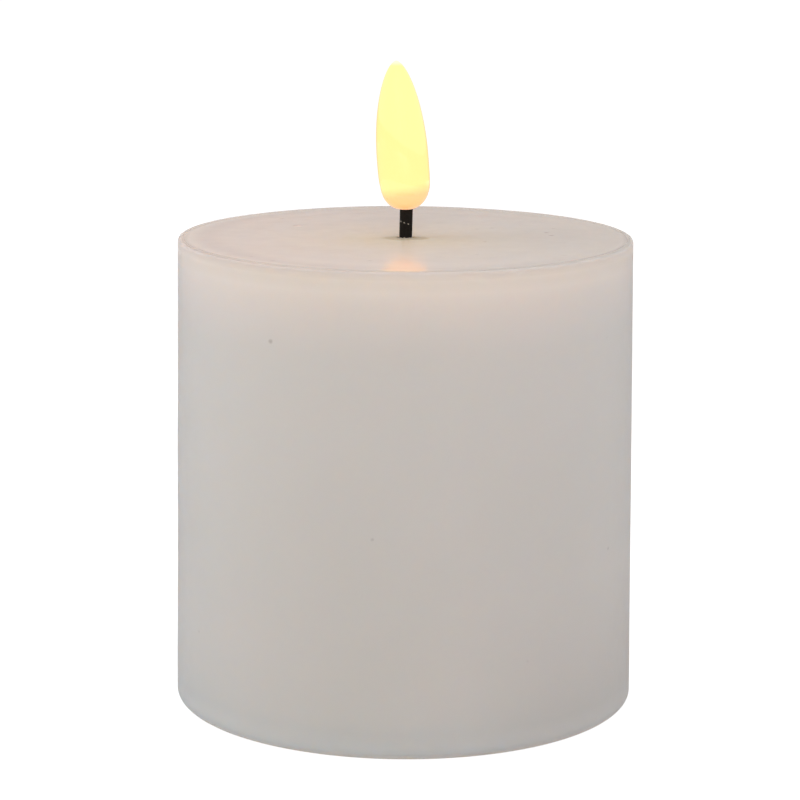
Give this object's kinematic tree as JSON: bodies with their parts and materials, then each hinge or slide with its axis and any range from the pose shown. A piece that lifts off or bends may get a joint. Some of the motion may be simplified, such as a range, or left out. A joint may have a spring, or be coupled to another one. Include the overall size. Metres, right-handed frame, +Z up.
{
  "type": "flameless led candle",
  "caption": "Round ivory wax pillar candle with a flame-shaped lit lens on a black wick, a recessed base with a battery door and a slide switch.",
  "frame": {"origin": "centre of the wax foot, on the surface the candle stands on", "axes": "+Z up along the candle, +Y towards the switch, +X towards the battery door's latch; the flame leans to -X"},
  "size_m": [0.1, 0.1, 0.1389],
  "materials": {
    "wax": "cast paraffin wax, ivory, satin, lets light in a few millimetres",
    "flame": "diffusing plastic lit from inside, warm yellow, peach at its foot",
    "wick": "black sleeve, finely ribbed",
    "can_plastic": "moulded plastic, matt",
    "base_plastic": "moulded plastic with a fine texture",
    "knob_plastic": "black moulded plastic",
    "zinc_steel": "zinc plated",
    "nickel_steel": "nickel plated spring steel",
    "cell_label": "plain printed sleeve over a steel can",
    "board": "solder mask over glass laminate",
    "chip_plastic": "moulded epoxy",
    "crystal_can": "drawn can",
    "capacitor_sleeve": "shrunk sleeve over an aluminium can",
    "ferrite": "ferrite drum with enamelled copper wire",
    "hot_glue": "hot-melt glue",
    "bush_rubber": "soft bush",
    "led_epoxy": "clear epoxy",
    "red_insulation": "wire insulation",
    "black_insulation": "wire insulation",
    "white_insulation": "wire insulation"
  },
  "bodies": {
    "candle": {"wax_pillar": "wax", "glue_beads": "hot_glue", "inner_can": "can_plastic", "base_plate": "base_plastic", "base_screws": "zinc_steel", "battery_1": "cell_label", "battery_2": "cell_label", "negative_contact": "nickel_steel", "positive_contact": "nickel_steel", "bridge_contact": "nickel_steel", "negative_spring": "nickel_steel", "bridge_spring": "nickel_steel", "switch_frame": "zinc_steel", "main_board": "board", "main_board_screws": "zinc_steel", "controller_chip": "chip_plastic", "timing_crystal": "crystal_can", "smoothing_capacitor": "capacitor_sleeve", "boost_inductor": "ferrite", "board_parts": "chip_plastic", "wick_bush": "bush_rubber", "wick_sleeve": "wick", "led_leads": "nickel_steel", "lead_sleeves": "black_insulation", "flame_led": "led_epoxy", "flame_lens": "flame", "red_wire": "red_insulation", "black_wire": "black_insulation", "led_wires": "white_insulation"},
    "door": {"battery_door": "base_plastic"},
    "latch": {"door_latch": "base_plastic"},
    "switch": {"switch_knob": "knob_plastic", "switch_actuator": "knob_plastic"}
  },
  "joints": [
    {"name": "door_hinge", "type": "hinge", "parent": "candle", "child": "door", "pos_m": [-0.032, -0.004, 0.0031], "axis": [0, 1, 0], "range_deg": [0, 95], "deforming": ["door_latch"]},
    {"name": "latch_flex", "type": "hinge", "parent": "door", "child": "latch", "pos_m": [0.03235, -0.004, 0.01], "axis": [0, 1, 0], "range_deg": [0, 10], "stiffness_Nm_per_rad": 0.1, "springref_deg": -1.15, "deforming": ["door_latch"]},
    {"name": "switch_slide", "type": "slide", "parent": "candle", "child": "switch", "axis": [1, 0, 0], "range_m": [0, 0.004]}
  ]
}
